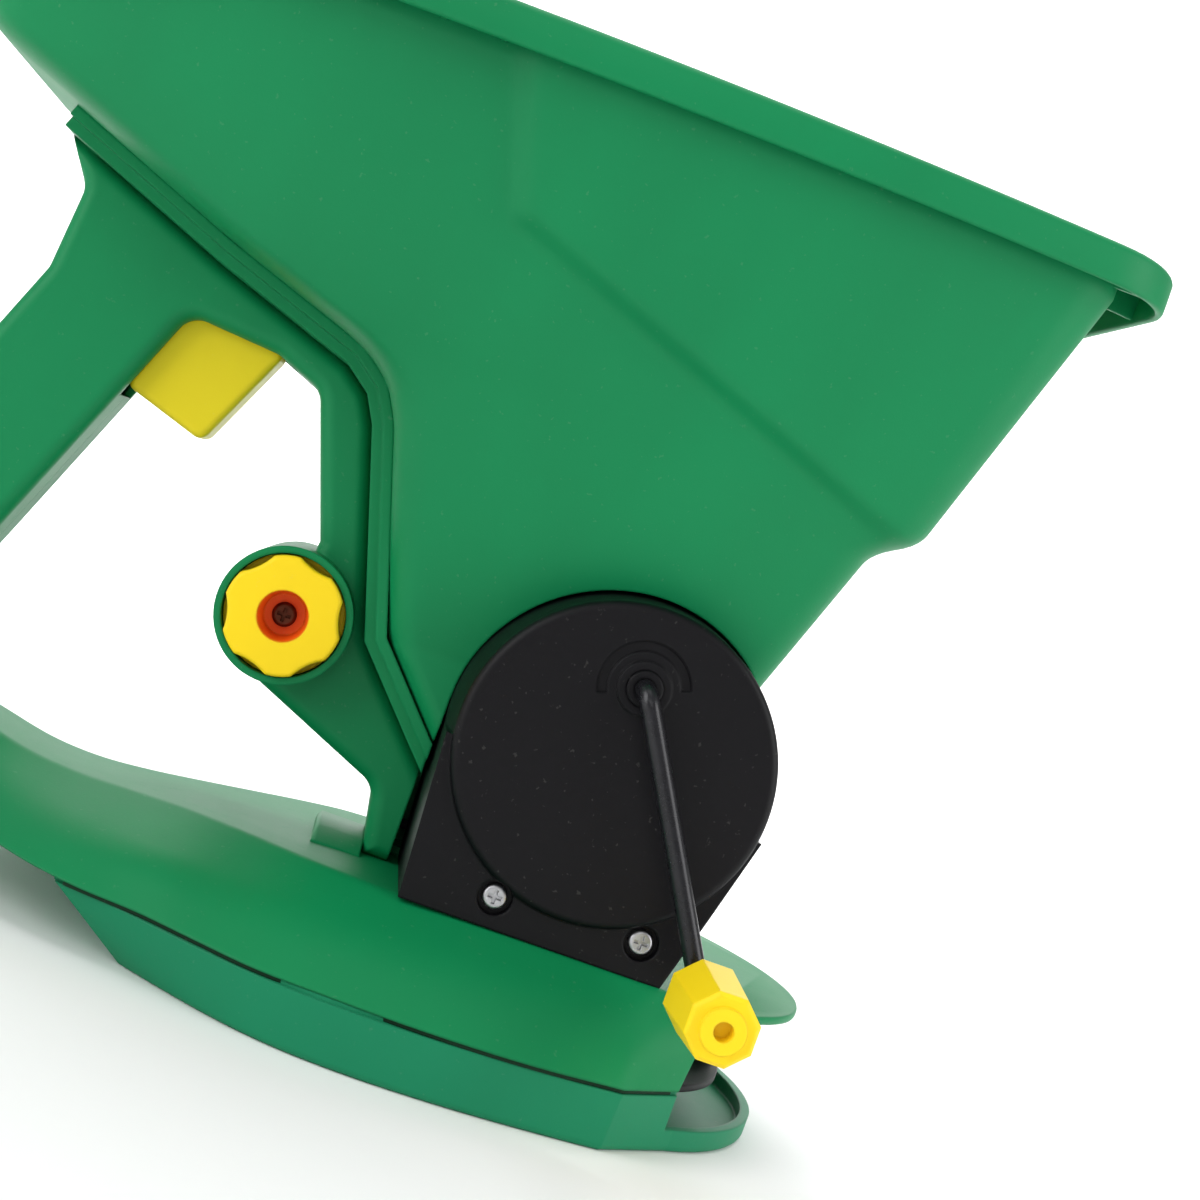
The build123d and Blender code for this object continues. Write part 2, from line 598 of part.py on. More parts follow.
# ---------------------------------------------------------------- crank
with BuildPart() as crank_rod:
    with BuildLine() as crank_line:
        FilletPolyline(
            (DRUM_X, -42.5, CRANK_Z), (DRUM_X, -67, CRANK_Z), (KNOB_X, KNOB_FAR + 7, KNOB_Z),
            (KNOB_X, KNOB_NEAR + ROD_END, KNOB_Z), radius=5.0,
        )
    with BuildSketch(across(DRUM_X, CRANK_Z, -42.5)):
        Circle(ROD_RADIUS)
    sweep(path=crank_line.line)
save(crank_rod, "crank_rod")

with BuildPart() as crank_gear:
    with BuildSketch(across(DRUM_X, CRANK_Z, -42.8)):
        with BuildLine():
            Polyline(*gear_points(CRANK_TEETH, SPUR_MODULE, 0.3, 1.0, 1.2), close=True)
        make_face()
        Circle(ROD_RADIUS, mode=Mode.SUBTRACT)
    extrude(amount=7.2)
save(crank_gear, "crank_gear")

with BuildPart() as crank_collar:
    add(round_bar(KNOB_X, KNOB_Z, KNOB_FAR + 0.3, KNOB_FAR + 2.0, 4.6))
    add(round_bar(KNOB_X, KNOB_Z, KNOB_FAR - 1, KNOB_FAR + 4, ROD_RADIUS), mode=Mode.SUBTRACT)
save(crank_collar, "crank_collar")

with BuildPart() as crank_knob:
    for distance, across_flats in ((KNOB_FAR, 20.4), (KNOB_NEAR + 1.5, 18.0)):
        with BuildSketch(across(KNOB_X, KNOB_Z, distance)):
            RegularPolygon(across_flats / 2, 8, major_radius=False, rotation=22.5)
    loft(ruled=True)
    chamfer(crank_knob.faces().sort_by(Axis.Y)[0].edges(), 1.0)
    chamfer(crank_knob.faces().sort_by(Axis.Y)[-1].edges(), 0.8)
    add(round_bar(KNOB_X, KNOB_Z, KNOB_NEAR, KNOB_NEAR + 3, 6.0))
    bore_end = KNOB_NEAR + ROD_END - 0.5
    add(round_bar(KNOB_X, KNOB_Z, bore_end, KNOB_FAR + 1, ROD_RADIUS + FIT), mode=Mode.SUBTRACT)
    add(round_bar(KNOB_X, KNOB_Z, KNOB_NEAR - 1, KNOB_NEAR + ROD_END - 2.5, 2.6), mode=Mode.SUBTRACT)
save(crank_knob, "crank_knob")

# ---------------------------------------------------------------- layshaft
with BuildPart() as layshaft:
    add(round_bar(DRUM_X, DRUM_Z, DRUM_FACE + 2.4, 22.0, SHAFT_RADIUS))
    chamfer(layshaft.edges().group_by(Axis.Y)[-1], 0.5)
save(layshaft, "layshaft")

crown_face = SHAFT_Y - PINION_TEETH * CROWN_MODULE / 2 - CROWN_DEDENDUM
with BuildPart() as crown_tooth:
    slope = math.tan(math.radians(20))
    deep, high, half_pitch = CROWN_DEDENDUM, CROWN_ADDENDUM, CROWN_TOOTH / 2
    with BuildSketch(Plane(origin=(CROWN_RADIUS - 1.5, 0, 0), x_dir=(0, 1, 0), z_dir=(1, 0, 0))):
        with BuildLine():
            Polyline(
                (-half_pitch - (deep + 0.4) * slope, -0.4), (-half_pitch + high * slope, deep + high),
                (half_pitch - high * slope, deep + high), (half_pitch + (deep + 0.4) * slope, -0.4),
                close=True,
            )
        make_face()
    extrude(amount=3.0)

with BuildPart() as compound_gear:
    with BuildSketch(across(DRUM_X, DRUM_Z, -41.0)):
        with BuildLine():
            Polyline(*gear_points(LAY_TEETH, SPUR_MODULE, 0.3, 1.0, 1.2, turn=90), close=True)
        make_face()
    extrude(amount=9.6)
    add(round_bar(DRUM_X, DRUM_Z, -41.4, -38.4, CROWN_RADIUS + 1.8))
    add(round_bar(DRUM_X, DRUM_Z, -38.4, crown_face, CROWN_RADIUS + 1.8))
    add(round_bar(DRUM_X, DRUM_Z, -38.4, crown_face + 1, CROWN_RADIUS - 1.8), mode=Mode.SUBTRACT)
    add(round_bar(DRUM_X, DRUM_Z, -38.4, -20.0, 6.0))
    facing = Plane(origin=(DRUM_X, crown_face, DRUM_Z), x_dir=(1, 0, 0), z_dir=(0, 1, 0))
    for tooth in range(CROWN_TEETH):
        add(facing * Rot(0, 0, 360 / CROWN_TEETH * tooth) * crown_tooth.part)
    for hole in range(5):
        spot = (Pos(DRUM_X, 0, DRUM_Z) * Rot(0, 72 * hole, 0) * Pos(20, 0, 0)).position
        add(round_bar(spot.X, spot.Z, -45, -35, 5.0), mode=Mode.SUBTRACT)
    add(round_bar(DRUM_X, DRUM_Z, -60, 0, SHAFT_RADIUS), mode=Mode.SUBTRACT)
save(compound_gear, "compound_gear")

with BuildPart() as agitator:
    add(round_bar(DRUM_X, DRUM_Z, 9, 21, 5.0))
    with Locations((DRUM_X, 15, DRUM_Z)):
        Box(27, 9, 2.4)
        Box(2.4, 9, 27)
    fillet(agitator.edges().filter_by(Axis.Y).group_by(SortBy.LENGTH)[-1], 0.6)
    add(round_bar(DRUM_X, DRUM_Z, 0, 30, SHAFT_RADIUS), mode=Mode.SUBTRACT)
save(agitator, "agitator")

# ---------------------------------------------------------------- impeller
with BuildPart() as impeller_shaft:
    add(upright(DRUM_X, SHAFT_Y, 4.3, 63.0, SHAFT_RADIUS))
    chamfer(impeller_shaft.edges().group_by(Axis.Z)[-1], 0.5)
save(impeller_shaft, "impeller_shaft")

with BuildPart() as impeller_pinion:
    with BuildSketch(Plane(origin=(DRUM_X, SHAFT_Y, 56.0))):
        with BuildLine():
            Polyline(*gear_points(PINION_TEETH, CROWN_MODULE, 0.3, 1.0, 1.3), close=True)
        make_face()
        Circle(SHAFT_RADIUS, mode=Mode.SUBTRACT)
    extrude(amount=6.0)
save(impeller_pinion, "impeller_pinion")

with BuildPart() as impeller:
    add(upright(DRUM_X, SHAFT_Y, IMPELLER_Z, IMPELLER_Z + 2.0, IMPELLER_RADIUS))
    for vane in range(VANES):
        with BuildSketch(Plane(origin=(DRUM_X, SHAFT_Y, IMPELLER_Z + 2), x_dir=(1, 0, 0), z_dir=(0, 0, 1))
                         * Rot(0, 0, 360 / VANES * vane)) as blade:
            with BuildLine():
                ThreePointArc((9, 0), (40, 4.5), (IMPELLER_RADIUS - 1, 0))
                offset(amount=0.9)
            make_face()
        extrude(amount=7.5)
    add(upright(DRUM_X, SHAFT_Y, IMPELLER_Z, HUB_TOP, 10))
    add(upright(DRUM_X, SHAFT_Y, 0, 60, SHAFT_RADIUS), mode=Mode.SUBTRACT)
save(impeller, "impeller")

with BuildPart() as impeller_nut:
    with BuildSketch(Plane.XY.offset(HUB_TOP)):
        with Locations((DRUM_X, SHAFT_Y)):
            RegularPolygon(5.0, 6, major_radius=False)
            Circle(SHAFT_RADIUS, mode=Mode.SUBTRACT)
    extrude(amount=4.0)
save(impeller_nut, "impeller_nut")

# ---------------------------------------------------------------- trigger, its pin, spring and link
with BuildPart() as trigger:
    add(side_prism(
        [(-76, 183), (-66, 183.4), (-53, 178.5), (-46.5, 171), (-61, 139), (-88, 147.5)],
        -TRIGGER_HALF, TRIGGER_HALF, 3.4,
    ))
    fillet(trigger.edges().filter_by(lambda e: abs(abs(e.center().Y) - TRIGGER_HALF) < 0.01), 2.2)
    add(side_prism([(-60, 180.5), (-43, 176.2), (-43, 173.5), (-58, 175)], -3.0, 3.0))
    add(round_bar(TRIGGER_X, TRIGGER_Z, -20, 20, PIN_RADIUS + FIT), mode=Mode.SUBTRACT)
save(trigger, "trigger")

with BuildPart() as trigger_pin:
    add(round_bar(TRIGGER_X, TRIGGER_Z, -15.3, 15.3, PIN_RADIUS))
    chamfer(trigger_pin.edges(), 0.3)
save(trigger_pin, "trigger_pin")

with BuildPart() as trigger_spring:
    with BuildLine() as coil:
        Helix(pitch=3.2, height=16.0, radius=3.4, center=(-101.4, 0, 164), direction=(1, 0, 0))
    with BuildSketch(Plane(origin=coil.line @ 0, z_dir=coil.line % 0)):
        Circle(0.5)
    sweep(path=coil.line, is_frenet=True)
save(trigger_spring, "trigger_spring")

with BuildPart() as gate_link:
    with BuildLine() as link_line:
        FilletPolyline(
            (-27, 5, 170), (-20, 5, 150), (-9.7, 5, 121), (-3.2, 5, 103), (9, 5, 82), (24, 5, 68),
            (29, 5, 58), radius=6.0,
        )
    with BuildSketch(Plane(origin=link_line.line @ 0, z_dir=link_line.line % 0)):
        Circle(1.4)
    sweep(path=link_line.line)
save(gate_link, "gate_link")

# ---------------------------------------------------------------- dial
with BuildPart() as flow_dial:
    add(round_bar(BOSS_X, BOSS_Z, DIAL_SEAT - 6.3, DIAL_SEAT - 0.3, DIAL_RADIUS))
    with BuildSketch(across(BOSS_X, BOSS_Z, DIAL_SEAT - 6.3)) as lobes:
        Circle(DIAL_RADIUS - 0.2)
        with PolarLocations(33.4, 6, start_angle=15):
            Circle(17.6, mode=Mode.SUBTRACT)
        fillet(lobes.vertices(), 1.5)
    extrude(amount=9.0)
    fillet(flow_dial.edges().group_by(Axis.Y)[0], 1.2)
    with BuildSketch(across(BOSS_X, BOSS_Z, DIAL_SEAT - 15.3)):
        Circle(7.4)
    extrude(amount=-9.5, taper=8, mode=Mode.SUBTRACT)
    add(round_bar(BOSS_X, BOSS_Z, -40, 0, SCREW_RADIUS + 0.05), mode=Mode.SUBTRACT)
save(flow_dial, "flow_dial")

with BuildPart() as dial_spindle:
    add(round_bar(BOSS_X, BOSS_Z, DIAL_SEAT - 0.3, 24.0, SPINDLE_RADIUS))
    with BuildSketch(across(BOSS_X, BOSS_Z, -2)):
        Circle(8.0)
        with Locations((-4, 0)):
            Circle(7.0)
    extrude(amount=6.0)
    add(round_bar(BOSS_X, BOSS_Z, -40, -4, SCREW_RADIUS + 0.05), mode=Mode.SUBTRACT)
save(dial_spindle, "dial_spindle")

with BuildPart() as dial_screw:
    add(pan_screw(across(BOSS_X, BOSS_Z, DIAL_SEAT - 5.8), 14.0))
save(dial_screw, "dial_screw")
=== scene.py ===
import math

import bmesh
import bpy
from bpy.props import FloatProperty, FloatVectorProperty, PointerProperty
from mathutils import Matrix, Vector


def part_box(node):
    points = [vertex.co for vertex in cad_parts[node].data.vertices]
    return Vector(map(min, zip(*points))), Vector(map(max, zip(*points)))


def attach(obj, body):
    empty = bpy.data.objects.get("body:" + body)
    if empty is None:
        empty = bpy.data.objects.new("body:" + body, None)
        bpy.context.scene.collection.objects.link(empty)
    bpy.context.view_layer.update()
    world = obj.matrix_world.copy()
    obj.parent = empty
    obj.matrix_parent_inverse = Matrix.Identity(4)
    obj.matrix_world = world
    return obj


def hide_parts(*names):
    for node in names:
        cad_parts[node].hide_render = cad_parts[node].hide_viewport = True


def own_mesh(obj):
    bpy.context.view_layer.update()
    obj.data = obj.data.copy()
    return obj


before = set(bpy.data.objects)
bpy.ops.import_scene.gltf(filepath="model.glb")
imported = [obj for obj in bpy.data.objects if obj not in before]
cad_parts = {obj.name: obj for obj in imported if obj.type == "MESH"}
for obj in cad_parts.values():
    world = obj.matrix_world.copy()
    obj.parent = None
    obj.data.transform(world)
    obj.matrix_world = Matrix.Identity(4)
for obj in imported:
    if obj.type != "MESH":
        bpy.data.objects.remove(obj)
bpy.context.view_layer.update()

bl_info = {
    "name": "Crank spreader studio",
    "version": (1, 0, 0),
    "blender": (4, 5, 0),
    "location": "View3D > Sidebar > Spreader",
    "description": "Dresses the crank spreader's frame with moulded shells, finishes and a studio",
    "category": "Object",
}

MM = 0.001

# Side-view edges of the hopper in millimetres, from the top down, as in the part's own frame
HOPPER_REAR = [
    (-163.0, 261.0), (-148.0, 226.0), (-69.5, 195.5), (-24.5, 180.5), (-14.5, 173.0),
    (-9.0, 163.0), (10.0, 104.5), (31.0, 82.0), (52.0, 60.0), (53.0, 52.0),
]
HOPPER_FRONT = [(165.0, 261.0), (142.0, 181.0), (131.0, 174.0), (109.0, 104.5), (98.0, 60.0), (97.0, 52.0)]
NECK_HALF = 35.0
NECK_TOP = 105.0
FLARE = 0.295
HOPPER_TOP = 261.0
HOPPER_BOTTOM = 52.0
RIM = {"rear": -172.0, "front": 180.0, "half": 92.0, "end": 77.0, "corner": 27.0, "top": 272.0}
WALL = 2.4
DRUM = (80.0, 95.0)
DECK_UNDER = 38.6
DECK_TOP = 41.0
# Sections across the hood, as x, then half-width and height of its lower edge, its fold and its deck's edge
HOOD = [
    (-170.5, 15.6, 38.5, 16.2, 43.0, 13.4, 49.6), (-160.0, 16.5, 31.5, 16.5, 41.0, 13.6, 50.0),
    (-130.0, 19.0, 25.5, 17.5, 38.0, 14.0, 50.0), (-118.0, 24.0, 23.5, 20.0, 36.0, 14.5, 49.6),
    (-105.0, 33.0, 22.0, 24.0, 33.5, 15.5, 44.8), (-90.0, 45.0, 21.0, 30.0, 31.0, 16.8, 40.8),
    (-75.0, 56.0, 19.8, 38.0, 29.5, 17.4, 37.6), (-60.0, 64.0, 18.4, 47.0, 28.6, 18.2, 36.6),
    (-45.0, 69.5, 17.8, 55.0, 28.6, 20.5, 37.3), (-28.0, 73.5, 17.8, 62.5, 29.5, 26.0, 38.6),
    (-10.0, 81.5, 17.8, 66.5, 29.6, 35.0, 39.7), (5.0, 87.8, 17.8, 71.5, 30.2, 43.5, 40.4),
    (20.0, 90.2, 17.8, 74.8, 30.6, 50.0, 40.9), (50.0, 91.9, 17.8, 76.6, 31.0, 54.5, 41.0),
    (80.0, 89.4, 17.8, 75.6, 31.0, 56.5, 41.0), (108.0, 82.0, 17.8, 71.0, 31.0, 57.0, 41.0),
    (128.8, 62.2, 17.8, 61.2, 33.0, 60.0, 41.0),
]
HOUSING_RADIUS = 47.0
DRUM_BACK = 2.0
COLUMNS = 110  # columns of faces along each side of the hopper
LEVELS = 150  # rows of faces up the hopper
RIBS = 46  # ribs under the rim
CORNER_STEPS = 10  # faces round each of the hopper's corners
EASE = 3.0  # reach over which the side view's turns are rounded
# The front panel's rear edge and sloping lower edge: a point, a slope, and the share of a step across it that is
# square to the edge
PANEL_REAR = {"x": -8.5, "top": 261.0, "slope": 0.338, "square": 0.947}
PANEL_LOW = {"x": 4.0, "height": 224.0, "slope": 0.346, "square": 0.945}
# The rim's section, as share of the way out to the lip, height and inset
RIM_SECTION = [
    (0.10, 269.6, 0.0), (0.5, 269.6, 0.0), (1.0, 269.2, 3.0), (1.0, 268.2, WALL), (1.0, 262.0, WALL),
    (1.0, 261.2, 2.0), (1.0, 261.0, 1.2), (1.0, 261.3, 0.4), (1.0, 262.2, 0.0), (1.0, 266.0, 0.0),
]
RIM_ROUND = 3.0  # radius of the lip's top
FIT_GAP = 0.3  # gap round the gearbox
# The hood: its nose's plan and section, the foot behind the column and, below it, a dark strip in the seam that is
# painted shadow
NOSE = {"centre": 88.0, "front": 77.5, "side": 60.0, "square": 40.8, "root": (104.0, 57.0)}
NOSE_SECTION = [
    (DECK_UNDER, 0.985), (39.1, 0.997), (39.5, 1.0), (40.1, 1.0), (40.6, 0.996), (41.0, 0.983),
]
FOOT = [(9.0, 36.0), (9.4, 43.4), (10.4, 44.6), (24.4, 44.6), (24.4, 36.0)]
FOOT_ENDS = [(-21.0, 41.3), (-12.0, 44.6), (12.0, 44.6), (21.0, 41.3)]
# The seam's dark strip, painted shadow in the groove: its insets from the hood's edge, heights and reach along x
SEAM_SHADOW_STRIP = {"out": 0.7, "in": 2.1, "low": 16.7, "top": 17.75, "rear": -50.0, "front": 125.0}
# The trigger spring's wire radius, turns and sides of its wire
SPRING = {"wire": 0.5, "turns": 7, "sides": 10}
# Lights, as name, place, target, size and watts
LIGHTS = [
    ("left_light", (-1.25, -0.80, 0.75), (0.0, 0.0, 0.14), (0.9, 1.3), 15.5),
    ("right_light", (1.35, -0.65, 0.55), (0.0, 0.0, 0.14), (0.8, 1.3), 12.0),
    ("front_light", (-0.1, -1.9, 1.2), (0.0, 0.0, 0.13), (1.2, 0.8), 4.0),
    ("top_light", (-0.2, 0.1, 1.6), (0.0, 0.0, 0.1), (1.4, 1.4), 12.0),
    ("wall_light", (0.2, 0.75, 1.5), (0.5, 2.1, 0.4), (2.0, 0.5), 60.0),
]
# The camera: its frame's width, focal length and shift in one unit, its place in metres and its roll in degrees
CAMERA = {"frame": 1200.0, "focal": 1850.0, "shift": (100.0, -50.0), "eye": (0.0, -0.560, 0.143), "roll": 20.0}
SENSOR = 36.0  # millimetres


# ---------------------------------------------------------------- sizes and colours a user may change
class SpreaderFinish(bpy.types.PropertyGroup):
    """Colours and surface of the moulded plastics."""

    green: FloatVectorProperty(
        name="Green", description="Hopper, frame and hood plastic", subtype="COLOR", size=3,
        min=0.0, max=1.0, default=(0.0015, 0.207, 0.068),
    )
    base_green: FloatVectorProperty(
        name="Base green", description="Lower housing plastic", subtype="COLOR", size=3,
        min=0.0, max=1.0, default=(0.005, 0.212, 0.095),
    )
    yellow: FloatVectorProperty(
        name="Yellow", description="Knob, dial and trigger plastic", subtype="COLOR", size=3,
        min=0.0, max=1.0, default=(0.93, 0.66, 0.010),
    )
    lever: FloatVectorProperty(
        name="Lever yellow", description="Trigger plastic", subtype="COLOR", size=3,
        min=0.0, max=1.0, default=(0.74, 0.60, 0.012),
    )
    black: FloatVectorProperty(
        name="Black", description="Gearbox and impeller plastic", subtype="COLOR", size=3,
        min=0.0, max=1.0, default=(0.0014, 0.0012, 0.0024),
    )
    softness: FloatProperty(
        name="Edge softness", description="Radius of the light on moulded edges", subtype="DISTANCE",
        unit="LENGTH", default=0.0011, min=0.0001, max=0.005,
    )
    grain: FloatProperty(
        name="Grain", description="Size of the moulded texture's cells", subtype="DISTANCE", unit="LENGTH",
        default=0.0006, min=0.0001, max=0.01,
    )


class SpreaderShape(bpy.types.PropertyGroup):
    """Sizes of the moulded details."""

    panel_rise: FloatProperty(
        name="Panel rise", description="How far the front panel stands proud of the side wall",
        subtype="DISTANCE", unit="LENGTH", default=0.0040, min=0.0, max=0.006,
    )
    fold_width: FloatProperty(
        name="Fold width", description="Width of the sloping band round the front panel",
        subtype="DISTANCE", unit="LENGTH", default=0.0060, min=0.001, max=0.03,
    )


# ---------------------------------------------------------------- shader expressions
class Value:
    """A shader socket that can be used in Python arithmetic."""

    def __init__(self, paint, socket):
        self.paint = paint
        self.socket = socket

    def _maths(self, operation, first, second):
        return self.paint.node("ShaderNodeMath", {"operation": operation}, [first, second])

    def __add__(self, other):
        return self._maths("ADD", self, other)

    def __radd__(self, other):
        return self._maths("ADD", other, self)

    def __sub__(self, other):
        return self._maths("SUBTRACT", self, other)

    def __rsub__(self, other):
        return self._maths("SUBTRACT", other, self)

    def __mul__(self, other):
        return self._maths("MULTIPLY", self, other)

    def __rmul__(self, other):
        return self._maths("MULTIPLY", other, self)


class Finish:
    """One material, written as expressions."""

    def __init__(self, name):
        self.material = bpy.data.materials.new(name)
        self.material.use_nodes = True
        self.tree = self.material.node_tree
        self.tree.nodes.clear()
        self.shader = self.tree.nodes.new("ShaderNodeBsdfPrincipled")
        output = self.tree.nodes.new("ShaderNodeOutputMaterial")
        self.tree.links.new(self.shader.outputs[0], output.inputs["Surface"])
        place = self.tree.nodes.new("ShaderNodeTexCoord")
        self.place = Value(self, place.outputs["Object"])

    def node(self, kind, settings, sockets, output=0):
        """A node of a kind: its settings, then its sockets as a list or by name."""
        node = self.tree.nodes.new(kind)
        for key, value in settings.items():
            setattr(node, key, value)
        pairs = sockets.items() if isinstance(sockets, dict) else enumerate(sockets)
        for key, value in pairs:
            if isinstance(value, Value):
                self.tree.links.new(value.socket, node.inputs[key])
            elif value is not None:
                node.inputs[key].default_value = value
        return Value(self, node.outputs[output])

    def noise(self, size, detail=3.0, rough=0.5, stretch=None):
        """Noise whose cells measure about size metres."""
        where = self.place
        if stretch:
            where = self.node("ShaderNodeVectorMath", {"operation": "MULTIPLY"}, [where, stretch])
        return self.node(
            "ShaderNodeTexNoise", {}, {"Vector": where, "Scale": 1.0 / size, "Detail": detail, "Roughness": rough}
        )

    def step(self, value, low, high):
        """0 below low, 1 above high, smooth between."""
        return self.node(
            "ShaderNodeMapRange", {"interpolation_type": "SMOOTHSTEP"},
            {"Value": value, "From Min": low, "From Max": high},
        )

    def mix(self, share, first, second):
        """A colour between two, by a share from 0 to 1."""
        return self.node(
            "ShaderNodeMix", {"data_type": "RGBA"}, {0: share, 6: rgba(first), 7: rgba(second)}, output=2
        )

    def soft_edges(self, radius):
        """A normal that rounds the edges over a radius, and a mask that is above 0 near them."""
        soft = self.node("ShaderNodeBevel", {"samples": 4}, {"Radius": radius})
        true = self.node("ShaderNodeNewGeometry", {}, {}, output="Normal")
        along = self.node("ShaderNodeVectorMath", {"operation": "DOT_PRODUCT"}, [soft, true], output="Value")
        return soft, 1.0 - along

    def bump(self, height, strength, distance, below=None):
        """A normal from a height."""
        sockets = {"Height": height, "Strength": strength, "Distance": distance}
        if below:
            sockets["Normal"] = below
        return self.node("ShaderNodeBump", {}, sockets)

    def set(self, **values):
        """Constants and links on the shader's own sockets."""
        for key, value in values.items():
            socket = self.shader.inputs[key.replace("_", " ")]
            if isinstance(value, Value):
                self.tree.links.new(value.socket, socket)
            else:
                socket.default_value = value


def rgba(colour):
    """A colour with alpha, or a link as it is."""
    return colour if isinstance(colour, Value) else (*colour[:3], 1.0)


def lighter(colour, factor):
    """The colour, scaled."""
    return tuple(min(1.0, channel * factor) for channel in colour[:3])


def moulded_plastic(name, colour, rough=0.42, grain_size=0.0006, softness=0.0011, wear=0.5, cavity=None):
    """Injection-moulded plastic: spark texture, flow marks, specks of dust and rubbed edges.

    A cavity is (axis point, radius, colour): a bore along Y where trapped light deepens the colour."""
    paint = Finish(name)
    grain = paint.noise(grain_size, 2.0, 0.6)
    flow = paint.noise(0.09, 3.0, 0.55, (1.0, 1.0, 0.35))
    patches = paint.noise(0.022, 4.0, 0.6)
    specks = paint.step(paint.noise(0.0016, 2.0, 0.5), 0.69, 0.75)
    soft, edge = paint.soft_edges(softness)
    rubbed = paint.step(edge * (0.4 + patches), 0.03, 0.30) * wear
    scuffs = paint.step(paint.noise(0.006, 3.0, 0.7, (1.0, 1.0, 0.25)), 0.62, 0.70) * wear
    tone = paint.mix(paint.step(flow, 0.3, 0.7), lighter(colour, 0.94), lighter(colour, 1.06))
    if cavity:
        (x, z), radius, deep = cavity
        away = paint.node("ShaderNodeVectorMath", {"operation": "SUBTRACT"}, [paint.place, (x, 0.0, z)])
        away = paint.node("ShaderNodeVectorMath", {"operation": "MULTIPLY"}, [away, (1.0, 0.0, 1.0)])
        reach = paint.node("ShaderNodeVectorMath", {"operation": "LENGTH"}, [away], output="Value")
        tone = paint.mix(paint.step(reach, radius, radius * 0.9), tone, deep)
    tone = paint.mix(rubbed * 0.30, tone, lighter(colour, 1.35))
    tone = paint.mix(specks * 0.035, tone, (0.62, 0.62, 0.56))
    paint.set(
        Base_Color=tone,
        Roughness=rough + 0.10 * patches + 0.05 * grain - 0.08 * rubbed + 0.06 * scuffs,
        Normal=paint.bump(grain, 0.30, 0.00008, paint.bump(patches, 0.10, 0.0005, soft)),
        IOR=1.46,
        Specular_IOR_Level=0.25,
    )
    return paint.material


def worked_metal(name, colour, rough, metallic=1.0):
    """Plated or painted metal with drawn lines, spots of dullness, fine scratches and bright edges."""
    paint = Finish(name)
    lines = paint.noise(0.0005, 3.0, 0.6, (1.0, 0.12, 1.0))
    spots = paint.noise(0.004, 4.0, 0.6)
    scratch = paint.step(paint.noise(0.0008, 2.0, 0.4, (1.0, 0.06, 0.4)), 0.66, 0.72)
    soft, edge = paint.soft_edges(0.0004)
    worn = paint.step(edge * (0.5 + spots), 0.05, 0.4)
    tone = paint.mix(paint.step(spots, 0.35, 0.75), lighter(colour, 0.86), lighter(colour, 1.1))
    paint.set(
        Base_Color=paint.mix(scratch * 0.35 + worn * 0.3, tone, lighter(colour, 1.5)),
        Metallic=metallic,
        Roughness=rough + 0.16 * spots - 0.06 * scratch,
        Normal=paint.bump(lines, 0.25, 0.00006, soft),
    )
    return paint.material


# ---------------------------------------------------------------- mesh helpers
def new_piece(name, bm, material, smooth=math.radians(32)):
    """A mesh object from a bmesh, smooth below an angle between its faces."""
    mesh = bpy.data.meshes.new(name)
    bmesh.ops.recalc_face_normals(bm, faces=bm.faces)
    bm.to_mesh(mesh)
    bm.free()
    piece = bpy.data.objects.new(name, mesh)
    bpy.context.collection.objects.link(piece)
    if material:
        mesh.materials.append(material)
    for face in mesh.polygons:
        face.use_smooth = True
    mesh.set_sharp_from_angle(angle=smooth)
    return piece


def combine(piece, tools, operation="DIFFERENCE"):
    """Combines a piece with tool objects, exactly, applies the result and removes the tools."""
    for tool in tools:
        step = piece.modifiers.new("combine", "BOOLEAN")
        step.operation, step.solver, step.object = operation, "EXACT", tool
    graph = bpy.context.evaluated_depsgraph_get()
    graph.update()
    mesh = bpy.data.meshes.new_from_object(piece.evaluated_get(graph))
    piece.modifiers.clear()
    piece.data = mesh
    for tool in tools:
        bpy.data.objects.remove(tool)
    if not mesh.polygons:
        raise RuntimeError(f"combining {piece.name} left no faces")


def side_solid(name, profile, near, far):
    """A side-view outline of (x, z) points as a closed solid from one y to another."""
    bm = bmesh.new()
    loop_skin(bm, [[(x, y, z) for x, z in profile] for y in (near, far)])
    return new_piece(name, bm, None)


def plan_solid(name, outline_points, heights):
    """A plan outline as a closed solid through (height, scale about its middle) pairs."""
    middle = sum(x for x, y in outline_points) / len(outline_points)
    bm = bmesh.new()
    loop_skin(
        bm,
        [[(middle + (x - middle) * scale, y * scale, z) for x, y in outline_points] for z, scale in heights],
    )
    return new_piece(name, bm, None)


def loop_skin(bm, rings):
    """Joins rings of equal length into a tube, with flat ends."""
    rows = [[bm.verts.new(Vector(point) * MM) for point in ring] for ring in rings]
    count = len(rows[0])
    for low, high in zip(rows, rows[1:]):
        for i in range(count):
            bm.faces.new((low[i], low[(i + 1) % count], high[(i + 1) % count], high[i]))
    bm.faces.new(rows[0][::-1])
    bm.faces.new(rows[-1])


def at_height(edge, height):
    """The x of a side-view edge, given from the top down, at a height."""
    for (x0, z0), (x1, z1) in zip(edge, edge[1:]):
        if height >= z1:
            break
    return x1 + (x0 - x1) * (height - z1) / (z0 - z1)


def eased(edge, height):
    """The edge's x at a height, with its turns rounded."""
    total = 0.0
    for step in range(-4, 5):
        total += at_height(edge, height + EASE * step / 4)
    return total / 9


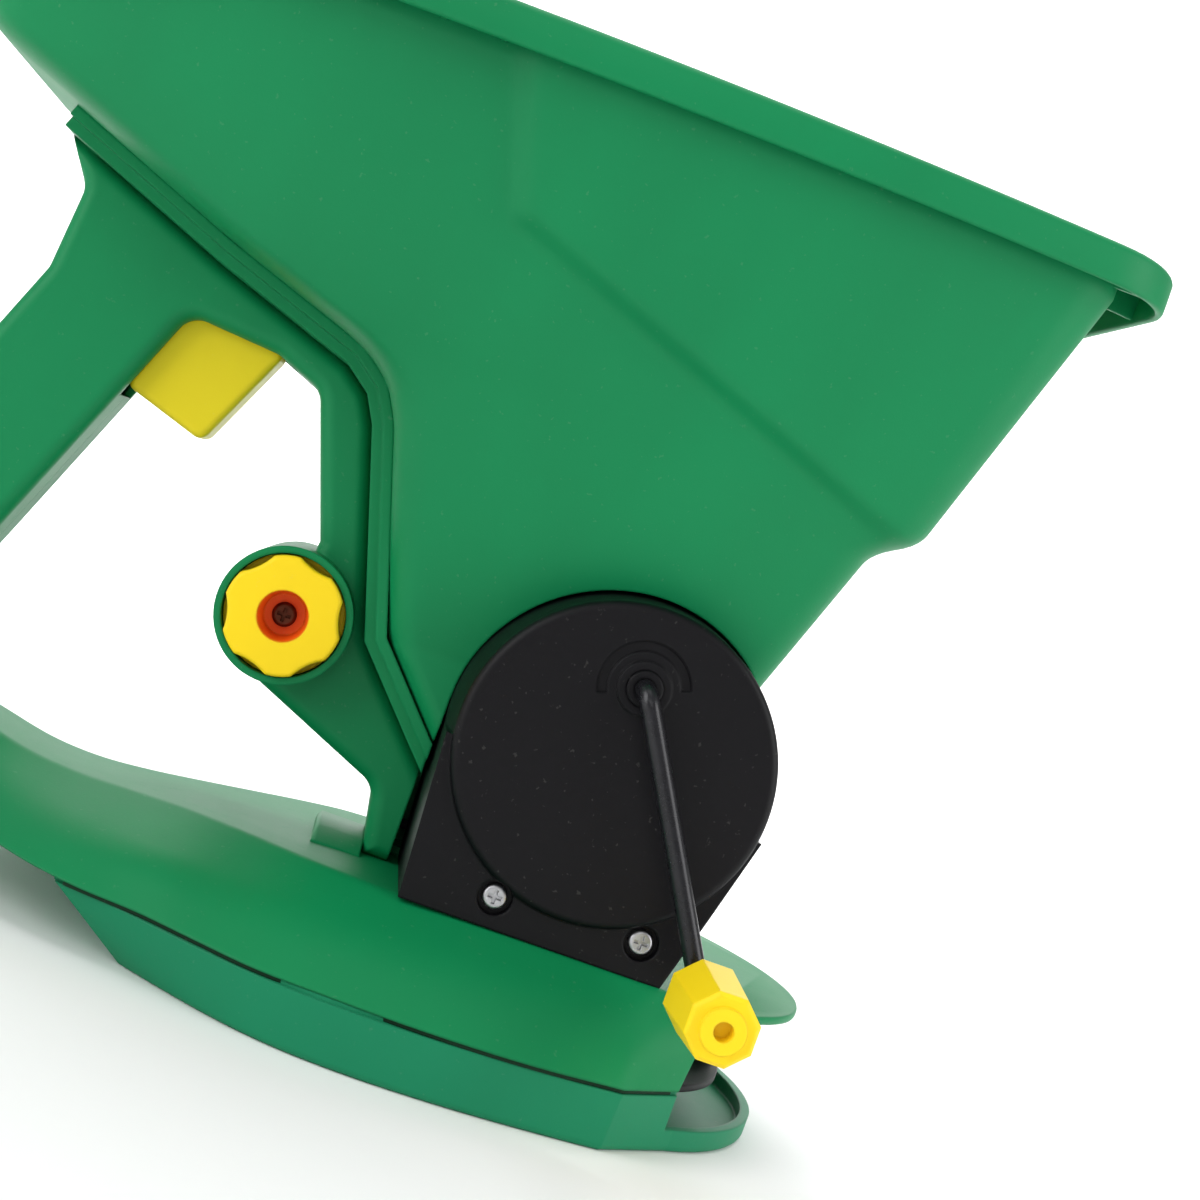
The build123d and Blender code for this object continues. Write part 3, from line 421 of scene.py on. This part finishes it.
def outline(rear, front, half, half_end, corner, sides=26):
    """A bowed, round-cornered plan outline, anticlockwise from the rear end's -Y corner."""
    middle, long_half = (rear + front) / 2, (front - rear) / 2
    bow = half - half_end

    def side(x):
        return half - bow * ((x - middle) / long_half) ** 2

    lean = math.atan(2 * bow / long_half)
    centre_x = front - corner
    centre_y = side(front - corner * (1 - math.sin(lean))) - corner * math.cos(lean)
    reach = math.pi / 2 - lean
    corner_front = [
        (
            centre_x + corner * math.cos(reach * i / CORNER_STEPS),
            centre_y + corner * math.sin(reach * i / CORNER_STEPS),
        )
        for i in range(CORNER_STEPS + 1)
    ]
    start = corner_front[-1][0]
    end = 2 * middle - start
    along = [start + (end - start) * i / sides for i in range(1, sides)]
    along = [(x, side(x)) for x in along]
    corner_rear = [(2 * middle - x, y) for x, y in reversed(corner_front)]
    half_loop = corner_front + along + corner_rear
    straight = 9
    rear_line = [(rear, corner_rear[-1][1] * (1 - 2 * i / straight)) for i in range(1, straight)]
    other = [(x, -y) for x, y in reversed(half_loop)]
    front_line = [(front, -corner_front[0][1] * (1 - 2 * i / straight)) for i in range(1, straight)]
    return half_loop + rear_line + other + front_line


def hopper_ring(height, panel, fold):
    """The hopper's outline at a height, with its front panel raised by panel over a fold."""
    share = (height - HOPPER_BOTTOM) / (HOPPER_TOP - HOPPER_BOTTOM)
    rise = max(0.0, height - NECK_TOP)
    half = NECK_HALF + rise * FLARE
    bow = 0.6 + rise * 0.085
    points = outline(
        eased(HOPPER_REAR, height), eased(HOPPER_FRONT, height), half, half - bow, 7.0 + 9.0 * share, sides=COLUMNS
    )
    ring = []
    for x, y in points:
        # distances into the panel from its rear edge and from its sloping lower edge
        behind = (x - PANEL_REAR["x"] - (PANEL_REAR["top"] - height) * PANEL_REAR["slope"]) * PANEL_REAR["square"]
        below = (height - PANEL_LOW["height"] + (x - PANEL_LOW["x"]) * PANEL_LOW["slope"]) * PANEL_LOW["square"]
        ease = min(1.0, max(0.0, min(behind, below) / fold + 0.5))
        lift = panel * ease * ease * (3 - 2 * ease)
        sign = 1 if y > 0 else -1
        fade = min(1.0, abs(y) / (half * 0.7))
        ring.append((x, y + sign * lift * fade ** 4, height))
    return ring


def gearbox_block(more, back):
    """The gearbox's outline, round above and square below, as a closed solid grown by more."""
    radius = HOUSING_RADIUS + more
    x, z = DRUM
    profile = [(x + radius, 40.0), (x + radius, z)]
    profile += [
        (x + radius * math.cos(math.pi * i / 48), z + radius * math.sin(math.pi * i / 48)) for i in range(1, 48)
    ]
    profile += [(x - radius, z), (x - radius, 40.0)]
    bm = bmesh.new()
    loop_skin(bm, [[(px, y, pz) for px, pz in profile] for y in (-100.0, back)])
    return new_piece("gearbox_block", bm, None)


def section_at(x, stations):
    """The numbers of a row of stations at x, on a smooth curve, with a straight last run."""
    last = len(stations) - 2
    for i in range(last + 1):
        if x <= stations[i + 1][0] or i == last:
            break
    a, b = stations[i], stations[i + 1]
    span = b[0] - a[0]
    t = (x - a[0]) / span
    if i == last:
        return [p + (q - p) * t for p, q in zip(a[1:], b[1:])]
    before, after = stations[max(i - 1, 0)], stations[min(i + 2, last)]
    row = []
    for k in range(1, len(a)):
        slope_a = (b[k] - before[k]) / (b[0] - before[0])
        slope_b = (after[k] - a[k]) / (after[0] - a[0])
        h1, h2 = 2 * t ** 3 - 3 * t ** 2 + 1, t ** 3 - 2 * t ** 2 + t
        h3, h4 = 3 * t ** 2 - 2 * t ** 3, t ** 3 - t ** 2
        row.append(h1 * a[k] + h2 * slope_a * span + h3 * b[k] + h4 * slope_b * span)
    return row


def rounded_line(corners, reaches, steps=6):
    """Points along a bent line whose inner corners are rounded over the given reaches."""
    points = [Vector(corners[0])]
    for before, corner, after, reach in zip(corners, corners[1:], corners[2:], reaches):
        before, corner, after = Vector(before), Vector(corner), Vector(after)
        start = corner + (before - corner).normalized() * min(reach, (before - corner).length * 0.45)
        end = corner + (after - corner).normalized() * min(reach, (after - corner).length * 0.45)
        points += [points[-1].lerp(start, i / steps) for i in range(1, steps)]
        for i in range(steps + 1):
            t = i / steps
            points.append(start * (1 - t) ** 2 + corner * 2 * t * (1 - t) + end * t ** 2)
    points += [points[-1].lerp(Vector(corners[-1]), i / steps) for i in range(1, steps + 1)]
    return points


def hood_ring(x, inward, floor=None):
    """The hood's section at x, a wall further in, closed below at its edge or at a floor height."""
    wb, zb, wm, zm, wd, zd = section_at(x, HOOD)
    corners = [
        (0.0, zd - inward), (wd - inward * 0.7, zd - inward), (wm - inward, zm - inward * 0.5), (wb - inward, zb),
    ]
    half = rounded_line(corners, (1.8, 9.0))
    low = zb if floor is None else floor
    edge = [(x, y, z) for y, z in half]
    under = [(x, (wb - inward) * (1 - i / 6), low) for i in range(1 if floor is None else 0, 6)]
    right = edge + under
    return right + [(x, -y, z) for x, y, z in reversed(right[1:])]


def paint_node(name, material):
    """Gives a CAD node its finish."""
    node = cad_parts[name]
    node.data.materials.clear()
    node.data.materials.append(material)


# ---------------------------------------------------------------- operators
class SPREADER_OT_studio(bpy.types.Operator):
    """Floor, lights and camera."""

    bl_idname = "spreader.studio"
    bl_label = "Studio"

    def execute(self, context):
        paper = Finish("studio_paper")
        fibre = paper.noise(0.004, 3.0, 0.6)
        paper.set(
            Base_Color=paper.mix(fibre * 0.3, (0.90, 0.90, 0.90), (0.87, 0.87, 0.87)),
            Roughness=0.9, Normal=paper.bump(fibre, 0.05, 0.0003),
        )
        bm = bmesh.new()
        profile = [(-4.0, 0.0), (1.4, 0.0)]
        turn = [math.pi / 2 * i / 16 for i in range(1, 17)]
        profile += [(1.4 + 0.8 * math.sin(a), 0.8 - 0.8 * math.cos(a)) for a in turn]
        profile += [(2.2, 4.0)]
        rows = [[bm.verts.new((x, y, z)) for y, z in profile] for x in (-5.0, 5.0)]
        for i in range(len(profile) - 1):
            bm.faces.new((rows[0][i], rows[1][i], rows[1][i + 1], rows[0][i + 1]))
        floor = new_piece("studio_floor", bm, paper.material)

        for name, spot, aim, size, watts in LIGHTS:
            light = bpy.data.lights.new(name, "AREA")
            light.shape, light.size, light.size_y = "RECTANGLE", size[0], size[1]
            light.energy = watts
            lamp = bpy.data.objects.new(name, light)
            bpy.context.collection.objects.link(lamp)
            lamp.location = spot
            lamp.rotation_euler = (Vector(aim) - Vector(spot)).to_track_quat("-Z", "Y").to_euler()

        world = bpy.data.worlds.new("studio_air")
        bpy.context.scene.world = world
        world.use_nodes = True
        air = world.node_tree.nodes["Background"]
        air.inputs["Color"].default_value = (1.0, 1.0, 1.0, 1.0)
        air.inputs["Strength"].default_value = 0.38
        context.scene.view_settings.view_transform = "Standard"

        camera = bpy.data.cameras.new("studio_camera")
        camera.sensor_width = SENSOR
        camera.lens = CAMERA["focal"] / CAMERA["frame"] * SENSOR
        aside, below = CAMERA["shift"]
        camera.shift_x, camera.shift_y = aside / CAMERA["frame"], below / CAMERA["frame"]
        camera.clip_start, camera.clip_end = 0.05, 20.0
        eye = bpy.data.objects.new("studio_camera", camera)
        bpy.context.collection.objects.link(eye)
        roll = math.radians(CAMERA["roll"])
        right = Vector((math.cos(roll), 0.0, math.sin(roll)))
        up = Vector((-math.sin(roll), 0.0, math.cos(roll)))
        lean = right * (aside / CAMERA["focal"]) + up * (below / CAMERA["focal"])
        ahead = (Vector((0, 1, 0)) + lean).normalized()
        right = (right - ahead * right.dot(ahead)).normalized()
        up = right.cross(ahead)
        rows = zip(right, up, -ahead, CAMERA["eye"])
        eye.matrix_world = Matrix([*(tuple(row) for row in rows), (0, 0, 0, 1)])
        bpy.context.scene.camera = eye
        return {"FINISHED"}


class SPREADER_OT_hopper(bpy.types.Operator):
    """The hopper's moulded shell with its raised front panel and turned-over rim."""

    bl_idname = "spreader.hopper"
    bl_label = "Hopper"

    def execute(self, context):
        shape, finish = context.scene.spreader_shape, context.scene.spreader_finish
        plastic = moulded_plastic("hopper_green", finish.green, 0.42, finish.grain, finish.softness)
        panel, fold = shape.panel_rise / MM, shape.fold_width / MM
        heights = [HOPPER_BOTTOM + (HOPPER_TOP - HOPPER_BOTTOM) * i / LEVELS for i in range(LEVELS + 1)]
        rings = [hopper_ring(height, panel, fold) for height in heights]
        top_ring = rings[-1]
        lip = outline(RIM["rear"], RIM["front"], RIM["half"], RIM["end"], RIM["corner"], sides=COLUMNS)

        def rim_ring(share, height, inset=0.0):
            ring = []
            for (ax, ay, az), (bx, by) in zip(top_ring, lip):
                x, y = ax + (bx - ax) * share, ay + (by - ay) * share
                reach = math.hypot(bx - ax, by - ay) or 1.0
                ring.append((x - (bx - ax) / reach * inset, y - (by - ay) / reach * inset, height))
            return ring

        rings += [[(x, y, h) for x, y, z in top_ring] for h in (264.0, 268.6)]
        rings += [rim_ring(*station) for station in RIM_SECTION]
        shoulder = RIM["top"] - RIM_ROUND
        for i in range(1, 7):
            angle = math.pi / 2 * i / 6
            rings.append(rim_ring(1.0, shoulder + RIM_ROUND * math.sin(angle), RIM_ROUND * (1 - math.cos(angle))))
        rings.append(rim_ring(0.35, RIM["top"]))
        bm = bmesh.new()
        loop_skin(bm, rings)
        shell = new_piece("hopper_shell", bm, plastic)

        bm = bmesh.new()
        levels = [HOPPER_BOTTOM - 6.0] + [HOPPER_BOTTOM + 215.0 * i / 90 for i in range(91)] + [280.0]
        inner_rings = []
        for height in levels:
            ring = hopper_inner_ring(min(max(height, HOPPER_BOTTOM), HOPPER_TOP))
            inner_rings.append([(x, y, height) for x, y, z in ring])
        loop_skin(bm, inner_rings)
        space = new_piece("hopper_space", bm, plastic)
        combine(space, [gearbox_block(FIT_GAP + WALL, DRUM_BACK + FIT_GAP + WALL)])
        combine(shell, [space, gearbox_block(FIT_GAP, DRUM_BACK + FIT_GAP)])
        shell.data.set_sharp_from_angle(angle=math.radians(35))
        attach(shell, "frame")
        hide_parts("hopper")

        bm = bmesh.new()
        stride = len(lip) // RIBS
        for i in range(0, len(lip), stride):
            (ax, ay, az), (bx, by) = top_ring[i], lip[i]
            reach = math.hypot(bx - ax, by - ay)
            if reach < 4.0:
                continue
            along = Vector((bx - ax, by - ay, 0)) / reach
            across = Vector((-along.y, along.x, 0)) * 0.6
            start = Vector((ax, ay, 0)) - along * 0.8
            end = Vector((bx, by, 0)) - along * 1.6
            top = Vector((0, 0, 269.9))
            rings = [
                [foot + across + low, foot - across + low, foot - across * 1.3 + top, foot + across * 1.3 + top]
                for foot, low in ((start, Vector((0, 0, 263.2))), (end, Vector((0, 0, 262.4))))
            ]
            loop_skin(bm, rings)
        ribs = new_piece("rim_ribs", bm, plastic)
        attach(ribs, "frame")
        return {"FINISHED"}


def hopper_inner_ring(height):
    """The hopper's inside at a height, one wall in from the outside."""
    share = (height - HOPPER_BOTTOM) / (HOPPER_TOP - HOPPER_BOTTOM)
    rise = max(0.0, height - NECK_TOP)
    half = NECK_HALF + rise * FLARE - WALL
    rear = max(at_height(HOPPER_REAR, height - d) + e for d, e in ((0.0, WALL), (-1.2, 2.2), (-2.3, 0.7)))
    return [
        (x, y, height)
        for x, y in outline(
            rear, eased(HOPPER_FRONT, height) - WALL - 0.3, half, half - 0.6 - rise * 0.085, 4.6 + 9.0 * share
        )
    ]


class SPREADER_OT_hood(bpy.types.Operator):
    """The base's hood: one flowing skin from the tail to the nose, with a step behind the column."""

    bl_idname = "spreader.hood"
    bl_label = "Hood"

    def execute(self, context):
        finish = context.scene.spreader_finish
        plastic = moulded_plastic("hood_green", finish.green, 0.42, finish.grain, finish.softness)
        stations = [-170.5 + 278.5 * i / 110 for i in range(111)] + [108.0 + 20.8 * i / 4 for i in range(1, 5)]
        bm = bmesh.new()
        loop_skin(bm, [hood_ring(x, 0.0) for x in stations])
        hood = new_piece("hood_shell", bm, plastic)
        lean = math.acos(NOSE["square"] / NOSE["front"])
        wide = NOSE["side"] / math.sin(lean)
        turn = [lean * (1 - i / 24) for i in range(49)]
        arc = [(NOSE["centre"] + NOSE["front"] * math.cos(a), -wide * math.sin(a)) for a in turn]
        root_x, root_y = NOSE["root"]
        nose = plan_solid("nose", [(root_x, -root_y), *arc, (root_x, root_y)], NOSE_SECTION)
        bm = bmesh.new()
        loop_skin(bm, [[(x, y, min(z, top)) for x, z in FOOT] for y, top in FOOT_ENDS])
        step = new_piece("foot_step", bm, None)
        combine(hood, [nose, step], "UNION")
        bm = bmesh.new()
        inner = [-49.0 + 157.0 * i / 60 for i in range(61)] + [108.0 + 24.0 * i / 4 for i in range(1, 5)]
        loop_skin(bm, [hood_ring(x, WALL, 10.0) for x in inner])
        space = new_piece("hood_space", bm, None)
        mouth_side = [(126, 9), (126, 17.7), (128, 29), (136, DECK_UNDER), (200, DECK_UNDER), (200, 9)]
        mouth = side_solid("mouth", mouth_side, -100.0, 100.0)
        turn = [math.tau * i / 40 for i in range(40)]
        bore = plan_solid("bore", [(80 + 5 * math.cos(a), 5 * math.sin(a)) for a in turn], [(30, 1), (50, 1)])
        bore.data.transform(Matrix.Translation((0, -8 * MM, 0)))
        port = plan_solid("port", [(69, -10), (83, -10), (83, 10), (69, 10)], [(30, 1), (50, 1)])
        port.data.transform(Matrix.Translation((0, 19 * MM, 0)))
        combine(hood, [space, mouth, bore, port])
        hood.data.set_sharp_from_angle(angle=math.radians(30))
        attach(hood, "frame")
        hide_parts("base_hood")

        # Painted shadow: a near-black strip laid in the groove under the hood's lower edge, darkening the seam's
        # shade line
        bm = bmesh.new()
        for side in (-1, 1):
            rings = []
            for x in stations:
                if SEAM_SHADOW_STRIP["rear"] < x < SEAM_SHADOW_STRIP["front"]:
                    half = section_at(x, HOOD)[0]
                    out, inside = side * (half - SEAM_SHADOW_STRIP["out"]), side * (half - SEAM_SHADOW_STRIP["in"])
                    low, top = SEAM_SHADOW_STRIP["low"], SEAM_SHADOW_STRIP["top"]
                    rings.append([(x, out, low), (x, inside, low), (x, inside, top), (x, out, top)])
            loop_skin(bm, rings)
        dark = moulded_plastic("seam_shadow_paint", lighter(finish.green, 0.12), 0.6, finish.grain, finish.softness * 0.3)
        seam = new_piece("seam_painted_shadow", bm, dark)
        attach(seam, "frame")
        return {"FINISHED"}


class SPREADER_OT_spring(bpy.types.Operator):
    """The trigger's return spring, with closed end turns."""

    bl_idname = "spreader.spring"
    bl_label = "Spring"

    def execute(self, context):
        low, high = (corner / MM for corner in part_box("trigger_spring"))
        wire, turns, sides = SPRING["wire"], SPRING["turns"], SPRING["sides"]
        radius = (high.z - low.z) / 2 - wire
        close = 2.1 * wire
        pitch = (high.x - low.x - 2 * wire - 2 * close) / (turns - 2)
        ahead = Vector((1.0, 0.0, 0.0))
        rings = []
        for i in range(turns * 24 + 1):
            turn = i / 24
            along = close * (min(turn, 1) + max(turn - turns + 1, 0)) + pitch * min(max(turn - 1, 0), turns - 2)
            out = Vector((0.0, math.cos(math.tau * turn), math.sin(math.tau * turn)))
            centre = Vector((low.x + wire + along, 0.0, (low.z + high.z) / 2)) + out * radius
            round_wire = [math.tau * k / sides for k in range(sides)]
            rings.append([centre + (out * math.cos(a) + ahead * math.sin(a)) * wire for a in round_wire])
        bm = bmesh.new()
        loop_skin(bm, rings)
        spring = new_piece("spring_coil", bm, worked_metal("spring_wire", (0.50, 0.50, 0.52), 0.26))
        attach(spring, "frame")
        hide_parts("trigger_spring")
        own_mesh(spring)
        return {"FINISHED"}


class SPREADER_OT_finishes(bpy.types.Operator):
    """Finishes of the pieces that keep their own shape."""

    bl_idname = "spreader.finishes"
    bl_label = "Finishes"

    def execute(self, context):
        finish = context.scene.spreader_finish
        grain, soft = finish.grain, finish.softness
        green = moulded_plastic("frame_green", finish.green, 0.42, grain, soft)
        base = moulded_plastic("housing_green", finish.base_green, 0.42, grain, soft)
        black = moulded_plastic("gearbox_black", finish.black, 0.40, grain * 0.9, soft, 0.8)
        yellow = moulded_plastic("knob_yellow", finish.yellow, 0.38, grain * 0.8, soft * 0.7, 0.25)
        lever = moulded_plastic("trigger_yellow", finish.lever, 0.38, grain * 0.8, soft, 0.25)
        dial = moulded_plastic(
            "dial_yellow", finish.yellow, 0.38, grain * 0.8, soft * 0.8, 0.25,
            cavity=((-0.020, 0.1005), 0.0078, (0.85, 0.12, 0.006)),
        )
        nylon = moulded_plastic("gear_nylon", (0.75, 0.73, 0.66), 0.35, grain * 0.7, soft * 0.4, 0.2)
        acetal = moulded_plastic("bush_acetal", (0.55, 0.55, 0.52), 0.32, grain * 0.7, soft * 0.4, 0.2)
        zinc = worked_metal("zinc_plate", (0.55, 0.55, 0.57), 0.28)
        # Painted shade: the dial's screw is coloured a dark red-brown to stand for the shade in the dial's recess
        screw_shade_paint = worked_metal("screw_painted_shade", (0.11, 0.035, 0.02), 0.4)
        rod = worked_metal("black_rod", (0.012, 0.012, 0.015), 0.20, 0.3)
        groups = {
            green: ("frame_left_shell", "frame_right_shell"),
            base: ("base_pan",),
            black: (
                "gearbox_cover", "gearbox_housing", "impeller", "outlet_guide", "flow_gate", "agitator",
                "crank_bush",
            ),
            yellow: ("crank_knob",),
            lever: ("trigger",),
            dial: ("flow_dial",),
            nylon: ("crank_gear", "compound_gear", "impeller_pinion", "dial_spindle"),
            acetal: ("layshaft_bush", "impeller_bush_upper", "impeller_bush_lower"),
            zinc: (
                "cover_screws", "base_screws", "frame_screws", "layshaft", "impeller_shaft", "impeller_nut",
                "trigger_pin", "gate_link",
            ),
            # the dial's screw gets the painted-shade metal
            screw_shade_paint: ("dial_screw",),
            rod: ("crank_rod", "crank_collar"),
        }
        for material, names in groups.items():
            for name in names:
                paint_node(name, material)
        return {"FINISHED"}


class SPREADER_PT_panel(bpy.types.Panel):
    """Lists the spreader's sizes, colours and pieces."""

    bl_label = "Crank spreader"
    bl_idname = "SPREADER_PT_panel"
    bl_space_type = "VIEW_3D"
    bl_region_type = "UI"
    bl_category = "Spreader"

    def draw(self, context):
        for group in (context.scene.spreader_shape, context.scene.spreader_finish):
            for key in group.__annotations__:
                self.layout.prop(group, key)
        for step in STEPS:
            self.layout.operator(step.bl_idname)


STEPS = (
    SPREADER_OT_studio, SPREADER_OT_hopper, SPREADER_OT_hood, SPREADER_OT_spring, SPREADER_OT_finishes,
)
CLASSES = (SpreaderFinish, SpreaderShape, *STEPS, SPREADER_PT_panel)


def register():
    for each in CLASSES:
        bpy.utils.register_class(each)
    bpy.types.Scene.spreader_finish = PointerProperty(type=SpreaderFinish)
    bpy.types.Scene.spreader_shape = PointerProperty(type=SpreaderShape)


def unregister():
    del bpy.types.Scene.spreader_shape
    del bpy.types.Scene.spreader_finish
    for each in reversed(CLASSES):
        bpy.utils.unregister_class(each)


def main():
    register()
    for step in STEPS:
        group, call = step.bl_idname.split(".")
        getattr(getattr(bpy.ops, group), call)()


if __name__ == "__main__":
    main()
